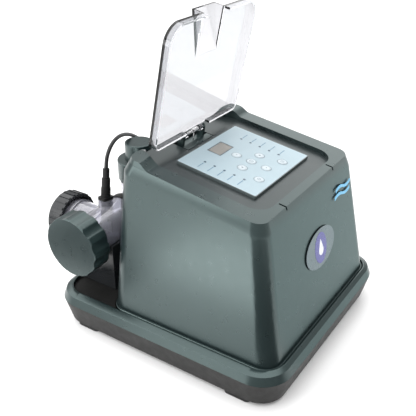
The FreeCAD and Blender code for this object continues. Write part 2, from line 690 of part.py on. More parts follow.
# ------------------------------------------------------------------ cell
def make_cell_body():
    length = 2 * CELL_END
    outer = rod((-CELL_END, CELL_Y, CELL_Z), X_AXIS, CELL_R, length)
    chamber_h = CHAMBER_TOP - CHAMBER_BOTTOM
    solids = [outer, rod((CHAMBER_X, CELL_Y, CHAMBER_BOTTOM), Z_AXIS, CHAMBER_R, chamber_h)]
    solids.append(rod((CHAMBER_X, CELL_Y, CHAMBER_TOP), Z_AXIS, HEAD_NECK_R,
                      HEAD_NECK_TOP - CHAMBER_TOP))
    solids.append(rod((-CELL_END, CELL_Y, CELL_Z), X_AXIS, NECK_R, CELL_END - NECK_IN))
    solids.append(rod((NECK_IN, CELL_Y, CELL_Z), X_AXIS, NECK_R, CELL_END - NECK_IN))
    for side in (-1, 1):
        solids.append(rod((side * STUB_X, CELL_Y, CELL_Z), Y_AXIS, STUB_R, STUB_END - CELL_Y))
        solids.append(rod((side * STUB_X, HOSE_CAP_Y0 - 7.5, CELL_Z), Y_AXIS, STUB_R + 1.6, 3.0))
    solids.append(on_sensor(rod((0, 0, -22), Z_AXIS, 9.0, 22)))
    body = fused(solids)
    inner_r = CELL_R - CELL_WALL
    body = body.cut(rod((-CELL_END - 1, CELL_Y, CELL_Z), X_AXIS, inner_r, length + 2))
    body = body.cut(rod((CHAMBER_X, CELL_Y, CHAMBER_BOTTOM + 3.5), Z_AXIS,
                        CHAMBER_R - CELL_WALL, chamber_h - 7.0))
    body = body.cut(rod((CHAMBER_X, CELL_Y, CHAMBER_BOTTOM + 20), Z_AXIS, HEAD_NECK_R - 3.0, 120))
    for side in (-1, 1):
        body = body.cut(rod((side * STUB_X, CELL_Y, CELL_Z), Y_AXIS, STUB_R - CELL_WALL, 90))
    body = body.cut(on_sensor(rod((0, 0, -26), Z_AXIS, 6.0, 30)))
    return body.removeSplitter()


def make_end_cap(side):
    """Screw cap with scalloped grip; its skirt turns round the cell's neck."""
    depth = CAP_OUT - CAP_IN
    cap = rod((0, 0, 0), Z_AXIS, CAP_R, depth)
    rim = [e for e in cap.Edges if abs(e.CenterOfMass.z - depth) < 0.01]
    cap = cap.makeChamfer(1.2, rim)
    cutter_r = 22.0
    bite = 1.4
    for i in range(CAP_LOBES):
        a = 2 * math.pi * (i + 0.5) / CAP_LOBES
        reach = CAP_R + cutter_r - bite
        cap = cap.cut(rod((reach * math.cos(a), reach * math.sin(a), -1), Z_AXIS, cutter_r,
                          depth + 2))
    bore_depth = CELL_END + SEAL_T + CLEAR - CAP_IN
    bore = rod((0, 0, -1), Z_AXIS, NECK_R + CLEAR, bore_depth + 1)
    cap = cap.cut(bore)
    cap.rotate(V(0, 0, 0), Y_AXIS, side * 90)
    cap.translate(V(side * CAP_IN, CELL_Y, CELL_Z))
    return cap.removeSplitter()


def make_hose_cap(side):
    """Black blanking cap with grip ribs; a shadow groove opens at its mouth."""
    depth = HOSE_CAP_Y1 - HOSE_CAP_Y0
    cap = rod((0, 0, 0), Z_AXIS, HOSE_CAP_R - 1.0, depth)
    rim = [e for e in cap.Edges if abs(e.CenterOfMass.z - depth) < 0.01]
    cap = cap.makeChamfer(1.5, rim)
    ribs = []
    for i in range(HOSE_CAP_RIBS):
        rib = box(HOSE_CAP_R - 2.5, HOSE_CAP_R, -1.5, 1.5, 1.0, depth - 2.5)
        rib.rotate(V(0, 0, 0), Z_AXIS, 360.0 * i / HOSE_CAP_RIBS)
        ribs.append(rib)
    cap = cap.fuse(ribs)
    bore_depth = STUB_END - HOSE_CAP_Y0 + HOSE_SEAL_T + CLEAR
    cap = cap.cut(rod((0, 0, -1), Z_AXIS, STUB_R + CLEAR, bore_depth + 1))
    cap = cap.cut(rod((0, 0, -1), Z_AXIS, STUB_R + 4.0, 5.0))
    cap.rotate(V(0, 0, 0), X_AXIS, -90)
    cap.translate(V(side * STUB_X, HOSE_CAP_Y0, CELL_Z))
    return cap.removeSplitter()


def make_seals():
    """Rubber rings that the caps press on."""
    seals = []
    for side in (-1, 1):
        x = CELL_END if side > 0 else -CELL_END - SEAL_T
        seals.append(tube((x, CELL_Y, CELL_Z), X_AXIS, NECK_R - 1.5, CELL_R - CELL_WALL + 0.3,
                          SEAL_T))
        seals.append(tube((side * STUB_X, STUB_END, CELL_Z), Y_AXIS, STUB_R - 0.6,
                          STUB_R - CELL_WALL + 0.3, HOSE_SEAL_T))
    head = tube((CHAMBER_X, CELL_Y, HEAD_NECK_TOP), Z_AXIS, HEAD_NECK_R - 0.6,
                HEAD_NECK_R - 3.0 + 0.4, HOSE_SEAL_T)
    return group(seals + [head])


def make_head_ring():
    """Ring nut: turns on the chamber's neck and holds the hub's flange down."""
    height = RING_TOP - CHAMBER_TOP - CLEAR
    ring = rod((CHAMBER_X, CELL_Y, CHAMBER_TOP + CLEAR), Z_AXIS, RING_R, height)
    low = [e for e in ring.Edges if abs(e.CenterOfMass.z - CHAMBER_TOP - CLEAR) < 0.01]
    high = [e for e in ring.Edges if abs(e.CenterOfMass.z - RING_TOP) < 0.01]
    ring = ring.makeChamfer(2.4, low).makeFillet(1.2, [nearest_edge(ring, high[0])])
    ring = ring.cut(rod((CHAMBER_X, CELL_Y, CHAMBER_TOP - 5), Z_AXIS, HUB_R + CLEAR, 60))
    bore_depth = HEAD_NECK_TOP + HOSE_SEAL_T - CHAMBER_TOP
    return ring.cut(rod((CHAMBER_X, CELL_Y, CHAMBER_TOP), Z_AXIS, HEAD_NECK_R + CLEAR, bore_depth))


def nearest_edge(shape, wanted):
    """The edge of shape whose middle is nearest to the wanted edge's middle."""
    return min(shape.Edges, key=lambda e: (e.CenterOfMass - wanted.CenterOfMass).Length)


def make_head_hub():
    """Cap of the electrode head: flange under the ring nut, hub with a soft top edge."""
    z0 = HEAD_NECK_TOP + HOSE_SEAL_T
    flange = rod((CHAMBER_X, CELL_Y, HEAD_NECK_TOP), Z_AXIS, HEAD_NECK_R - 3.3, HOSE_SEAL_T)
    hub = rod((CHAMBER_X, CELL_Y, z0), Z_AXIS, HUB_R, HUB_TOP - z0)
    top = [e for e in hub.Edges if abs(e.CenterOfMass.z - HUB_TOP) < 0.01]
    hub = hub.makeFillet(1.6, top)
    return hub.fuse(flange).removeSplitter()


def make_electrode():
    """Five titanium plates on edge in the tube, spaced by combs, with two studs."""
    plates = []
    for i in range(5):
        y = CELL_Y + (i - 2) * 6.0
        plates.append(box(-36, 50, y - 0.5, y + 0.5, CELL_Z - 17, CELL_Z + 17))
    PARTS["electrode_plates"] = group(plates)
    combs = []
    for x in (-36.0, 46.0):
        for z in (CELL_Z - 20, CELL_Z + 17):
            combs.append(box(x, x + 4.0, CELL_Y - 9.5, CELL_Y + 9.5, z, z + 3.0))
    PARTS["electrode_combs"] = group(combs)
    studs = []
    for dx in (-7.0, 7.0):
        low = CELL_Z + 20.0
        studs.append(rod((CHAMBER_X + dx, CELL_Y, low), Z_AXIS, 2.0, HEAD_NECK_TOP - low))
    PARTS["electrode_studs"] = group(studs)


def make_cell_cradle():
    """Black trough that carries the tube, open where the chamber and stubs pass."""
    y0 = CELL_Y - 27.5
    y1 = CELL_Y + 27.5
    trough = box(-100, 100, y0, y1, SHELF_TOP, CELL_Z - 10.6)
    trough = trough.cut(rod((-110, CELL_Y, CELL_Z), X_AXIS, CELL_R, 220))
    trough = trough.cut(rod((CHAMBER_X, CELL_Y, CHAMBER_BOTTOM), Z_AXIS, CHAMBER_R, 90))
    for side in (-1, 1):
        trough = trough.cut(rod((side * STUB_X, CELL_Y, CELL_Z), Y_AXIS, STUB_R, 60))
    for x0, x1 in ((-94, -40), (28, 94)):
        trough = trough.cut(box(x0, x1, y0 + 3, y1 - 3, SHELF_TOP - 1, CELL_Z - CELL_R - 6))
    return trough.removeSplitter()


def make_cell_straps():
    """Two straps over the tube, with a foot on the front and rear of the cradle."""
    straps = []
    for x in (-44.0, 34.0):
        band = tube((x - 5, CELL_Y, CELL_Z), X_AXIS, CELL_R + 1.6, CELL_R, 10.0)
        band = band.cut(box(x - 6, x + 6, CELL_Y - 50, CELL_Y + 50, CELL_Z - 60, CELL_Z - 10.6))
        straps.append(band)
    return group(straps)


# ------------------------------------------------------------------ sensor, lead, glands
def make_sensor():
    flange = rounded_block(-8.4, 8.4, -6.4, 6.4, 2.4, 0, 3.6)
    stem = on_sensor(flange.fuse(rod((0, 0, -24), Z_AXIS, 5.8, 24)))
    for dy in (-4.2, 4.2):
        stem = stem.fuse(box(PADDLE_X - 2, PADDLE_X + 2, SENSOR_Y + dy - 1, SENSOR_Y + dy + 1,
                             PADDLE_PIVOT_Z - 2, SENSOR_Z - 22))
    stem = stem.cut(rod((PADDLE_X, 90, PADDLE_PIVOT_Z), Y_AXIS, 0.8, 40))
    PARTS["sensor_stem"] = stem.removeSplitter()
    plug = rod((0, 0, 3.6), Z_AXIS, 5.9, 11.4)
    plug = plug.fuse([rod((0, 0, 15.0), Z_AXIS, 5.3, 12.0), rod((0, 0, 27.0), Z_AXIS, 4.1, 12.4)])
    for z in (7.0, 10.0):
        plug = plug.cut(tube((0, 0, z), Z_AXIS, 7.0, 5.4, 1.0))
    PARTS["sensor_plug"] = on_sensor(plug.removeSplitter())


def make_paddle():
    """Vane that the stream swings, on a cross pin below the sensor's stem."""
    pivot_z = PADDLE_PIVOT_Z
    PARTS["paddle_pin"] = rod((PADDLE_X, SENSOR_Y - 5.6, pivot_z), Y_AXIS, 0.8, 11.2)
    vane = box(PADDLE_X - 0.6, PADDLE_X + 0.6, SENSOR_Y - 7, SENSOR_Y + 7, pivot_z - 18, pivot_z - 3)
    arm = box(PADDLE_X - 0.6, PADDLE_X + 0.6, SENSOR_Y - 2, SENSOR_Y + 2, pivot_z - 5, pivot_z)
    eye = rod((PADDLE_X, SENSOR_Y - 2.6, pivot_z), Y_AXIS, 1.6, 5.2)
    paddle = vane.fuse([arm, eye]).cut(rod((PADDLE_X, 90, pivot_z), Y_AXIS, 0.85, 40))
    return paddle.removeSplitter()


def route_path(points):
    """Straight runs joined by tangent arcs as large as the shorter run allows."""
    pts = [V(*p) for p in points]
    edges = []
    radii = []
    here = pts[0]
    for before, corner, after in zip(pts, pts[1:], pts[2:]):
        d1 = (corner - before).normalize()
        d2 = (after - corner).normalize()
        half = math.acos(max(-1.0, min(1.0, d1.dot(d2)))) / 2
        reach = 0.45 * min((corner - before).Length, (after - corner).Length)
        radius = reach / math.tan(half)
        radii.append(radius)
        start = corner - d1 * reach
        end = corner + d2 * reach
        centre = corner + (d2 - d1).normalize() * (radius / math.cos(half))
        middle = centre + (corner - centre).normalize() * radius
        edges.append(Part.LineSegment(here, start).toShape())
        edges.append(Part.Arc(start, middle, end).toShape())
        here = end
    edges.append(Part.LineSegment(here, pts[-1]).toShape())
    return Part.Wire(edges), radii


def make_lead():
    path, radii = route_path(LEAD_ROUTE)
    start = V(*LEAD_ROUTE[0])
    along = (V(*LEAD_ROUTE[1]) - start).normalize()
    circle = Part.Wire([Part.makeCircle(LEAD_R, start, along)])
    lead = path.makePipeShell([circle], True, False)
    section = math.pi * LEAD_R ** 2
    print("lead length %.1f mm, volume ratio %.4f" % (path.Length,
                                                      lead.Volume / (section * path.Length)))
    print("lead radii in diameters:", ["%.1f" % (r / (2 * LEAD_R)) for r in radii])
    return lead


def make_glands():
    inside = 46.0
    body = rod((GLAND_X, inside, GLAND_Z), Y_AXIS, 6.0, 14.0)
    nut = hexagon(GLAND_X, GLAND_Z, 8.5, 54.0, 58.5)
    cone = Part.makeCone(6.0, 3.6, 7.5, V(GLAND_X, 58.5, GLAND_Z), Y_AXIS)
    body = body.fuse([nut, cone])
    PARTS["sensor_gland"] = body.cut(house_section(GLAND_X, GLAND_Z, 20.0, 6.0)).removeSplitter()
    dome_y = MAINS_Y1 - 6.0
    mains = rod((MAINS_X, MAINS_Y0, MAINS_Z), Y_AXIS, 8.0, dome_y - MAINS_Y0)
    mains = mains.fuse(hexagon(MAINS_X, MAINS_Z, 11.5, dome_y - 5.5, dome_y))
    dome = Part.makeCone(9.0, 6.0, 6.0, V(MAINS_X, dome_y, MAINS_Z), Y_AXIS)
    mains = mains.fuse(dome).cut(rod((MAINS_X, MAINS_Y0 - 5, MAINS_Z), Y_AXIS, 4.0, 60))
    PARTS["mains_gland"] = mains.cut(house_section(MAINS_X, MAINS_Z, 26.0, 8.0)).removeSplitter()


def house_section(x, z, size, hole_r):
    """The stretch of the housing's rear wall round a gland, without the gland's hole."""
    block = box(x - size, x + size, 35, 90, z - size, z + size)
    wall = house_body(0.0, FLANGE_TOP, 0.0).common(block)
    wall = wall.cut(house_body(HOUSE_WALL, FLANGE_TOP, 10.6))
    return wall.cut(rod((x, 30, z), Y_AXIS, hole_r, 80))


def hexagon(x, z, r, y0, y1):
    points = []
    for i in range(6):
        a = math.radians(60 * i)
        points.append((x + r * math.cos(a), y0, z + r * math.sin(a)))
    return extruded_profile(points, Y_AXIS, y1 - y0)


# ------------------------------------------------------------------ electronics inside
def make_control_electronics():
    board_w = -RECESS_DEPTH - DECK_T - 8.6
    PARTS["control_board"] = on_deck(box(-62, 62, -100, 8, board_w - 1.6, board_w))
    switches = []
    for x, s in KEYS.values():
        stem_low = -RECESS_DEPTH - DECK_T - 0.3 - KEY_TRAVEL
        switches.append(on_deck(box(x - 3, x + 3, s - 3, s + 3, board_w, stem_low - 0.15)))
    PARTS["tact_switches"] = group(switches)
    low = board_w
    high = -RECESS_DEPTH + PANEL_T - 1.3
    PARTS["display_module"] = on_deck(box(-12.5, 12.5, WINDOW_S0 + 0.5, WINDOW_S1 - 0.5, low,
                                          high))
    screws = []
    for x in (-72.0, 72.0):
        for s in (-98.0, -45.0, 8.0):
            shank = rod((x, s, -RECESS_DEPTH - DECK_T - DECK_SEAT_T - 2.0), Z_AXIS, 1.5, 2.0)
            head = rod((x, s, -RECESS_DEPTH - DECK_T - DECK_SEAT_T - 4.0), Z_AXIS, 3.0, 2.0)
            screws.append(on_deck(shank.fuse(head)))
    PARTS["deck_screws"] = group(screws)


def make_power_electronics():
    floor = PAN_FLOOR
    board_z = floor + POST_H
    PARTS["power_board"] = box(*BOARD_X, *BOARD_Y, board_z, board_z + 1.6)
    top = board_z + 1.6
    PARTS["board_screws"] = group([rod((x, y, top), Z_AXIS, 3.0, 2.0) for x, y in post_places()])
    PARTS["relays"] = group([box(-98, -79, y, y + 16, top, top + 16) for y in (-20, 2)])
    PARTS["capacitors"] = group([rod((-50, y, top), Z_AXIS, 9.0, 30.0) for y in (-100, -76, -52)])
    block = box(-100, -84, -110, -50, top, top + 12)
    for i in range(6):
        block = block.cut(rod((-92, -105 + i * 10, top + 6), Z_AXIS, 2.4, 8))
    PARTS["terminal_block"] = block
    PARTS["fuse_holder"] = rod((-70, -118, top + 6), Y_AXIS, 6.0, 30).fuse(
        box(-75, -65, -116, -90, top, top + 4))
    sink = [box(-40, 0, -20, 30, top, top + 4)]
    for i in range(7):
        sink.append(box(-40 + i * 6.2, -38 + i * 6.2, -20, 30, top + 4, top + 30))
    PARTS["heat_sink"] = fused(sink)
    tx, ty = 60.0, -50.0
    core = box(tx - 36, tx + 36, ty - 22, ty + 22, floor + 3, floor + 63)
    core = core.cut(box(tx - 24, tx - 12, ty - 30, ty + 30, floor + 15, floor + 51))
    core = core.cut(box(tx + 12, tx + 24, ty - 30, ty + 30, floor + 15, floor + 51))
    PARTS["transformer_core"] = core
    coil = box(tx - 23.5, tx + 23.5, ty - 34, ty + 34, floor + 16, floor + 50)
    PARTS["transformer_coil"] = coil.cut(box(tx - 12, tx + 12, ty - 22, ty + 22, floor, floor + 70))
    plate = box(tx - 48, tx + 48, ty - 24, ty + 24, floor, floor + 3)
    PARTS["transformer_bracket"] = plate


def make_fasteners():
    """Screws that hold the housing, tray and cradle from below the base."""
    screws = []
    for x in (-114.0, 114.0):
        for y in (-142.0, -50.0, 45.0):
            screws.append(rod((x, y, PAN_FLOOR), Z_AXIS, 4.0, 3.0))
    PARTS["base_screws"] = group(screws)


# ------------------------------------------------------------------ build
PARTS["base_pan"] = make_base_pan()
PARTS["foot_pads"] = make_foot_pads()
PARTS["tray_shell"] = make_tray_shell()
PARTS["housing_shell"] = make_housing_shell()
PARTS["top_deck"] = make_top_deck()
PARTS["panel_frame"] = make_panel_frame()
PARTS["membrane_overlay"] = make_membrane_overlay()
for key_name, (key_x, key_s) in KEYS.items():
    PARTS[key_name] = make_key(key_x, key_s)
PARTS["display_window"] = make_display_window()
PARTS["led_dots"] = make_led_dots()
PARTS["hinge_bracket"] = make_hinge_bracket()
PARTS["hinge_pin"] = make_hinge_pin()
PARTS["hinge_spring"] = make_hinge_spring()
PARTS["lid"] = make_lid()
make_badges()
PARTS["cell_body"] = make_cell_body()
PARTS["end_cap_left"] = make_end_cap(-1)
PARTS["end_cap_right"] = make_end_cap(1)
PARTS["hose_cap_left"] = make_hose_cap(-1)
PARTS["hose_cap_right"] = make_hose_cap(1)
PARTS["cap_seals"] = make_seals()
PARTS["head_ring"] = make_head_ring()
PARTS["head_hub"] = make_head_hub()
make_electrode()
PARTS["cell_cradle"] = make_cell_cradle()
PARTS["cell_straps"] = make_cell_straps()
make_sensor()
PARTS["flow_paddle"] = make_paddle()
PARTS["sensor_cable"] = make_lead()
make_glands()
make_control_electronics()
make_power_electronics()
make_fasteners()

os.makedirs("parts", exist_ok=True)
for name, shape in PARTS.items():
    shape.translate(V(0, 0, -GROUND_Z))
    if not shape.isValid() or min(s.Volume for s in shape.Solids) <= 0:
        print("check", name, shape.isValid(), [round(s.Volume, 1) for s in shape.Solids])
    shape.exportStep("parts/%s.step" % name)
print(len(PARTS), "nodes")
print("lid pin at", pin_point() + V(0, 0, -GROUND_Z))
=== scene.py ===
import bmesh
import bpy
import json
import math
from mathutils import Matrix, Vector


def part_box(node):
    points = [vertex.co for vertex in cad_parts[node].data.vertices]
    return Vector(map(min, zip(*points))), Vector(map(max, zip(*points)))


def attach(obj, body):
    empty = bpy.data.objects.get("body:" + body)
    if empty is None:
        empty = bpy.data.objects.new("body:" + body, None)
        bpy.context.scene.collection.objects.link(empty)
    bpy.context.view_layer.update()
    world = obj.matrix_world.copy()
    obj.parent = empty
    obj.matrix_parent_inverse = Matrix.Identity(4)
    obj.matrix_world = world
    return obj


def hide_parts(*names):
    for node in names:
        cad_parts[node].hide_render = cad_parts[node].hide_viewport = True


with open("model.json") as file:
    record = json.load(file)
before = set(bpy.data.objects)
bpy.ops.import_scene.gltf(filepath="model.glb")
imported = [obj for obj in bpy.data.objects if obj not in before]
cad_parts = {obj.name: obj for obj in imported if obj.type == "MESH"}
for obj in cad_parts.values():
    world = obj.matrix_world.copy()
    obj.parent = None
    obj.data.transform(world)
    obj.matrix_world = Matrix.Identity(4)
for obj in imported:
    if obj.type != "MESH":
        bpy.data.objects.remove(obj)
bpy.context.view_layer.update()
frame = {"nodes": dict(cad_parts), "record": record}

RECORD = frame["record"]
BODY_OF = {node: body for body, members in RECORD["behaviour"]["bodies"].items() for node in members}
SLOT_OF = {part["node"]: part["material_slot"] for part in RECORD["subparts"]}

DECK_TILT = math.radians(9.2)
DECK_Z = 0.2262              # height of the housing's rim plane over the origin
OVERLAY_W = -0.0020          # top of the keypad sheet, square to the rim plane
KEY_W = -0.0014
PRINT_T = 0.00008            # how far a print stands off its sheet
KEY_R = 0.0054
KEY_BORDER_GAP = 0.0002
KEY_BORDER_WIDTH = 0.0007
GLYPH_LINE = 0.0006
LED_COUNT = 5                # lights on each side of the sheet
LED_FRONT_S = -0.0685
LED_STEP = 0.01295
LED_LINE_X = 0.0480
LED_LINE_LENGTH = 0.0120
LED_LINE_WIDTH = 0.0012
DISPLAY_FRONT_S = -0.0208
DISPLAY_REAR_S = -0.0033
DISPLAY_BORDER = 0.0013
DISPLAY_GAP = 0.0006
PIN_S = 0.0297
PIN_W = 0.0041
SPRING_TURNS = 8
SPRING_STEPS = 16            # points in one turn
SPRING_PITCH = 0.00115
SPRING_R = 0.0022
SPRING_WIRE_R = 0.00055
SPRING_X = 0.0015            # where the coil starts along the pin
SPRING_LEG = 0.0118
BEVEL_SEGMENTS = 3
BEVEL_ANGLE = math.radians(28.0)
FLAT_ANGLE = math.radians(0.6)
LIFT = 0.009                 # height of the lead's zero over the ground
LEAD_DIAMETER = 0.0048
LEAD_ROUTE = [
    (-0.0641, 0.1110, 0.1818),
    (-0.0627, 0.1110, 0.1915),
    (-0.0581, 0.1114, 0.2001),
    (-0.0507, 0.1125, 0.2065),
    (-0.0415, 0.1145, 0.2100),
    (-0.0275, 0.1182, 0.2100),
    (-0.0120, 0.1226, 0.2060),
    (0.0040, 0.1273, 0.1988),
    (0.0230, 0.1315, 0.1865),
    (0.0385, 0.1250, 0.1720),
    (0.0440, 0.1060, 0.1610),
    (0.0440, 0.0830, 0.1580),
    (0.0440, 0.0660, 0.1580),
]


# ------------------------------------------------------------------ materials
def new_material(name):
    material = bpy.data.materials.new(name)
    material.use_nodes = True
    nodes = material.node_tree.nodes
    links = material.node_tree.links
    return material, nodes, links, nodes["Principled BSDF"]


def noise_node(nodes, links, scale, detail=2.0, stretch=None):
    place = nodes.new("ShaderNodeTexCoord")
    source = place.outputs["Object"]
    if stretch:
        mapping = nodes.new("ShaderNodeMapping")
        mapping.inputs["Scale"].default_value = stretch
        links.new(source, mapping.inputs["Vector"])
        source = mapping.outputs["Vector"]
    noise = nodes.new("ShaderNodeTexNoise")
    noise.inputs["Scale"].default_value = scale
    noise.inputs["Detail"].default_value = detail
    links.new(source, noise.inputs["Vector"])
    return noise


def ranged(nodes, links, source, low, high, from_low=0.3, from_high=0.7):
    scaled = nodes.new("ShaderNodeMapRange")
    scaled.inputs["From Min"].default_value = from_low
    scaled.inputs["From Max"].default_value = from_high
    scaled.inputs["To Min"].default_value = low
    scaled.inputs["To Max"].default_value = high
    links.new(source, scaled.inputs["Value"])
    return scaled.outputs["Result"]


def blend_colours(nodes, links, factor, first, second):
    mix = nodes.new("ShaderNodeMix")
    mix.data_type = "RGBA"
    mix.inputs["A"].default_value = (*first, 1)
    mix.inputs["B"].default_value = (*second, 1)
    links.new(factor, mix.inputs["Factor"])
    return mix.outputs["Result"]


def make_surface(name, base, rough, vary=0.05, vary_scale=35.0, rough_vary=0.06, grain=0.0,
                 grain_scale=2200.0, metallic=0.0, coat=0.0, specular=0.5, stretch=None,
                 transmission=0.0, ior=1.5, wave=0.0, wave_scale=40.0, tint=(1.0, 1.0, 1.0)):
    """Moulded or metal surface: slow colour drift, uneven gloss and a fine grain in relief."""
    material, nodes, links, shader = new_material(name)
    drift = noise_node(nodes, links, vary_scale, 3.0)
    dark = tuple(max(0.0, c * (1 - vary)) for c in base)
    light = tuple(min(1.0, c * (1 + vary)) for c in base)
    factor = ranged(nodes, links, drift.outputs["Fac"], 0.0, 1.0)
    links.new(blend_colours(nodes, links, factor, dark, light), shader.inputs["Base Color"])
    gloss = noise_node(nodes, links, vary_scale * 3.1, 3.0, stretch=stretch)
    links.new(ranged(nodes, links, gloss.outputs["Fac"], max(0.01, rough - rough_vary),
                     rough + rough_vary), shader.inputs["Roughness"])
    shader.inputs["Metallic"].default_value = metallic
    shader.inputs["Coat Weight"].default_value = coat
    shader.inputs["Coat Roughness"].default_value = 0.12
    shader.inputs["Specular IOR Level"].default_value = specular
    shader.inputs["Specular Tint"].default_value = (*tint, 1)
    shader.inputs["Transmission Weight"].default_value = transmission
    shader.inputs["IOR"].default_value = ior
    normal = None
    if wave:
        slow = noise_node(nodes, links, wave_scale, 1.0)
        bump = nodes.new("ShaderNodeBump")
        bump.inputs["Strength"].default_value = 1.0
        bump.inputs["Distance"].default_value = wave
        links.new(slow.outputs["Fac"], bump.inputs["Height"])
        normal = bump.outputs["Normal"]
    if grain:
        fine = noise_node(nodes, links, grain_scale, 2.0, stretch=stretch)
        bump = nodes.new("ShaderNodeBump")
        bump.inputs["Strength"].default_value = 0.6
        bump.inputs["Distance"].default_value = grain
        links.new(fine.outputs["Fac"], bump.inputs["Height"])
        if normal:
            links.new(normal, bump.inputs["Normal"])
        normal = bump.outputs["Normal"]
    if normal:
        links.new(normal, shader.inputs["Normal"])
    return material


SURFACES = {
    "green_plastic": dict(base=(0.009, 0.016, 0.017), rough=0.29, vary=0.05, rough_vary=0.02,
                          wave=0.00015, wave_scale=7.0, specular=1.0, tint=(0.78, 1.0, 0.98)),
    "deck_plastic": dict(base=(0.015, 0.020, 0.021), rough=0.33, vary=0.05, rough_vary=0.02,
                         specular=0.75, tint=(0.88, 1.0, 1.0)),
    "black_plastic": dict(base=(0.009, 0.009, 0.0085), rough=0.5, specular=0.35, vary=0.12, grain=0.00010,
                          grain_scale=1100.0),
    "black_gloss": dict(base=(0.014, 0.016, 0.018), rough=0.22, vary=0.10, grain=0.00002),
    "dark_plastic": dict(base=(0.085, 0.110, 0.112), rough=0.22, vary=0.05, grain=0.00003,
                         specular=1.0),
    "rubber": dict(base=(0.015, 0.015, 0.016), rough=0.7, vary=0.15, grain=0.0001,
                   grain_scale=1200.0),
    "membrane_blue": dict(base=(0.380, 0.485, 0.535), rough=0.40, vary=0.015, grain=0.00002,
                          grain_scale=3500.0),
    "key_blue": dict(base=(0.55, 0.62, 0.66), rough=0.32, vary=0.02, grain=0.00002),
    "smoked_window": dict(base=(0.24, 0.23, 0.205), rough=0.12, vary=0.10, vary_scale=60.0,
                          coat=0.4),
    "led_lens": dict(base=(0.045, 0.085, 0.125), rough=0.25, vary=0.08, coat=0.3),
    "print_line": dict(base=(0.13, 0.24, 0.34), rough=0.4, vary=0.03),
    "print_glyph": dict(base=(0.075, 0.10, 0.12), rough=0.4, vary=0.05),
    "print_ring": dict(base=(0.22, 0.29, 0.33), rough=0.4, vary=0.04),
    "clear_plastic": dict(base=(0.60, 0.60, 0.62), rough=0.02, vary=0.0, rough_vary=0.01,
                          transmission=1.0, ior=1.49, wave=0.00012, wave_scale=14.0),
    "clear_cell": dict(base=(0.66, 0.66, 0.74), rough=0.06, vary=0.04, rough_vary=0.03,
                       transmission=0.80, ior=1.45, wave=0.00035, wave_scale=40.0, coat=1.0,
                       specular=0.8),
    "badge_grey": dict(base=(0.140, 0.172, 0.190), rough=0.3, vary=0.03),
    "badge_purple": dict(base=(0.085, 0.060, 0.30), rough=0.28, vary=0.05, coat=0.3),
    "badge_white": dict(base=(0.85, 0.85, 0.88), rough=0.3, vary=0.02),
    "wave_blue": dict(base=(0.16, 0.50, 0.78), rough=0.3, vary=0.04),
    "bright_steel": dict(base=(0.62, 0.62, 0.63), rough=0.22, vary=0.06, metallic=1.0,
                         grain=0.00003, stretch=(0.15, 1.0, 1.0)),
    "titanium": dict(base=(0.20, 0.20, 0.21), rough=0.42, vary=0.12, metallic=0.7,
                     grain=0.00008, grain_scale=900.0),
    "white_plastic": dict(base=(0.75, 0.75, 0.74), rough=0.4, vary=0.03, grain=0.00003),
    "cable_jacket": dict(base=(0.010, 0.010, 0.011), rough=0.42, vary=0.12, grain=0.00005,
                         grain_scale=1800.0),
    "board_green": dict(base=(0.02, 0.10, 0.05), rough=0.35, vary=0.15, grain=0.00003),
    "relay_blue": dict(base=(0.02, 0.08, 0.30), rough=0.35, vary=0.05),
    "terminal_green": dict(base=(0.03, 0.20, 0.07), rough=0.4, vary=0.06),
    "plain_aluminium": dict(base=(0.60, 0.61, 0.62), rough=0.35, vary=0.05, metallic=1.0,
                            stretch=(1.0, 0.1, 1.0), grain=0.00004),
    "core_steel": dict(base=(0.05, 0.05, 0.055), rough=0.45, vary=0.2, metallic=0.4,
                       stretch=(0.2, 1.0, 8.0), grain=0.0001),
    "coil_tape": dict(base=(0.55, 0.38, 0.06), rough=0.4, vary=0.1, stretch=(1.0, 1.0, 6.0),
                      grain=0.00008),
}
MATERIALS = {name: make_surface(name, **settings) for name, settings in SURFACES.items()}


# ------------------------------------------------------------------ pieces
def link(obj):
    bpy.context.scene.collection.objects.link(obj)
    return obj


def give(obj, slot):
    obj.data.materials.clear()
    obj.data.materials.append(MATERIALS[slot])


def soft_edged(node, width, surface=None):
    """A copy of a CAD node with its sharp edges rounded, which stands for that node."""
    mesh = frame["nodes"][node].data.copy()
    mesh.name = node + "_skin"
    bm = bmesh.new()
    bm.from_mesh(mesh)
    bmesh.ops.remove_doubles(bm, verts=bm.verts, dist=0.000005)
    bmesh.ops.dissolve_limit(bm, angle_limit=FLAT_ANGLE, verts=bm.verts, edges=bm.edges)
    for face in bm.faces:
        face.smooth = True
    bm.to_mesh(mesh)
    bm.free()
    obj = link(bpy.data.objects.new(node + "_skin", mesh))
    bevel = obj.modifiers.new("soft_edges", "BEVEL")
    bevel.width = width
    bevel.segments = BEVEL_SEGMENTS
    bevel.limit_method = "ANGLE"
    bevel.angle_limit = BEVEL_ANGLE
    bevel.use_clamp_overlap = True
    weighted = obj.modifiers.new("even_normals", "WEIGHTED_NORMAL")
    weighted.keep_sharp = False
    give(obj, surface or SLOT_OF[node])
    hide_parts(node)
    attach(obj, BODY_OF[node])
    return obj


for node, obj in frame["nodes"].items():
    give(obj, SLOT_OF[node])

SOFT_EDGES = {
    "housing_shell": 0.0016,
    "tray_shell": 0.0010,
    "top_deck": 0.0008,
    "base_pan": 0.0010,
    "foot_pads": 0.0010,
    "panel_frame": 0.0004,
    "end_cap_left": 0.0010,
    "end_cap_right": 0.0010,
    "hose_cap_left": 0.0006,
    "hose_cap_right": 0.0006,
    "head_ring": 0.0007,
    "head_hub": 0.0010,
    "cell_cradle": 0.0009,
    "cell_straps": 0.0004,
    "badge_plate": 0.0003,
    "sensor_stem": 0.0004,
}
SURFACE_OF = {"top_deck": "deck_plastic"}
for node, width in SOFT_EDGES.items():
    soft_edged(node, width, SURFACE_OF.get(node))


